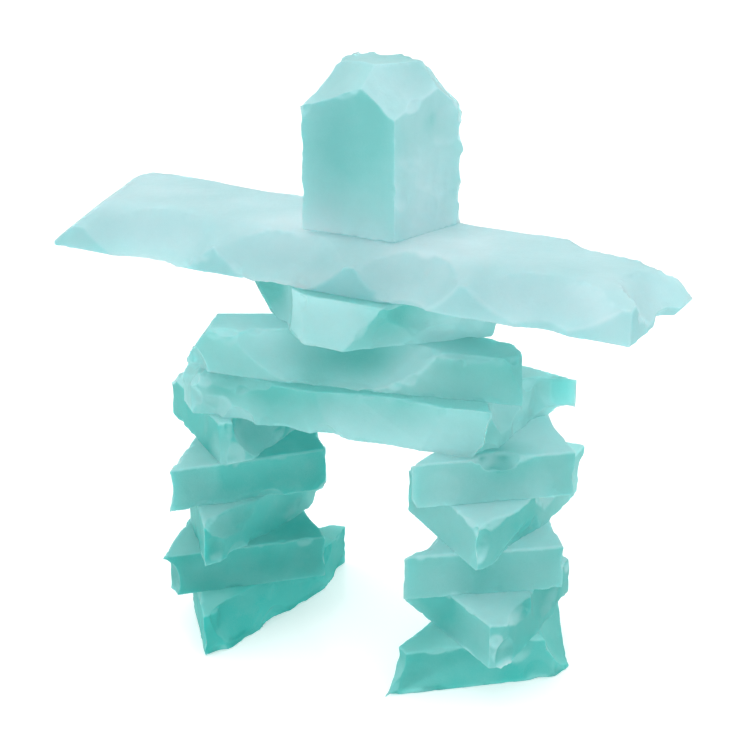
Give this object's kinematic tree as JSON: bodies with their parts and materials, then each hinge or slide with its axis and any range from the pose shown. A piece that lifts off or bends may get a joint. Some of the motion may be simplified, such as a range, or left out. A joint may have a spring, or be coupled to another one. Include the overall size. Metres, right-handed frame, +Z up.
{
  "type": "glass inukshuk sculpture",
  "caption": "Table sculpture of a figure with outstretched arms, stacked from rough-broken plates of frosted sea-green glass.",
  "frame": {"origin": "middle of the box around the figure, at the height of the surface the feet stand on", "axes": "+Z up, +X along the arms towards the right-hand end as seen from the front, -Y towards the front"},
  "size_m": [0.2738, 0.1262, 0.2407],
  "materials": {
    "foot": "frosted sea-green glass, deepest in tone",
    "leg": "frosted sea-green glass",
    "body": "frosted sea-green glass",
    "arm": "frosted sea-green glass, palest in tone",
    "head": "frosted sea-green glass"
  },
  "bodies": {
    "root": {"right_leg_stone_5_foot": "foot", "right_leg_stone_4": "leg", "right_leg_stone_3": "leg", "right_leg_stone_2": "leg", "right_leg_stone_1": "leg", "left_leg_stone_5_foot": "foot", "left_leg_stone_4": "foot", "left_leg_stone_3": "leg", "left_leg_stone_2": "leg", "left_leg_stone_1": "leg", "hip_stone": "body", "chest_stone": "body", "neck_stone": "body", "arm_stone": "arm", "head_stone": "head"}
  },
  "joints": []
}
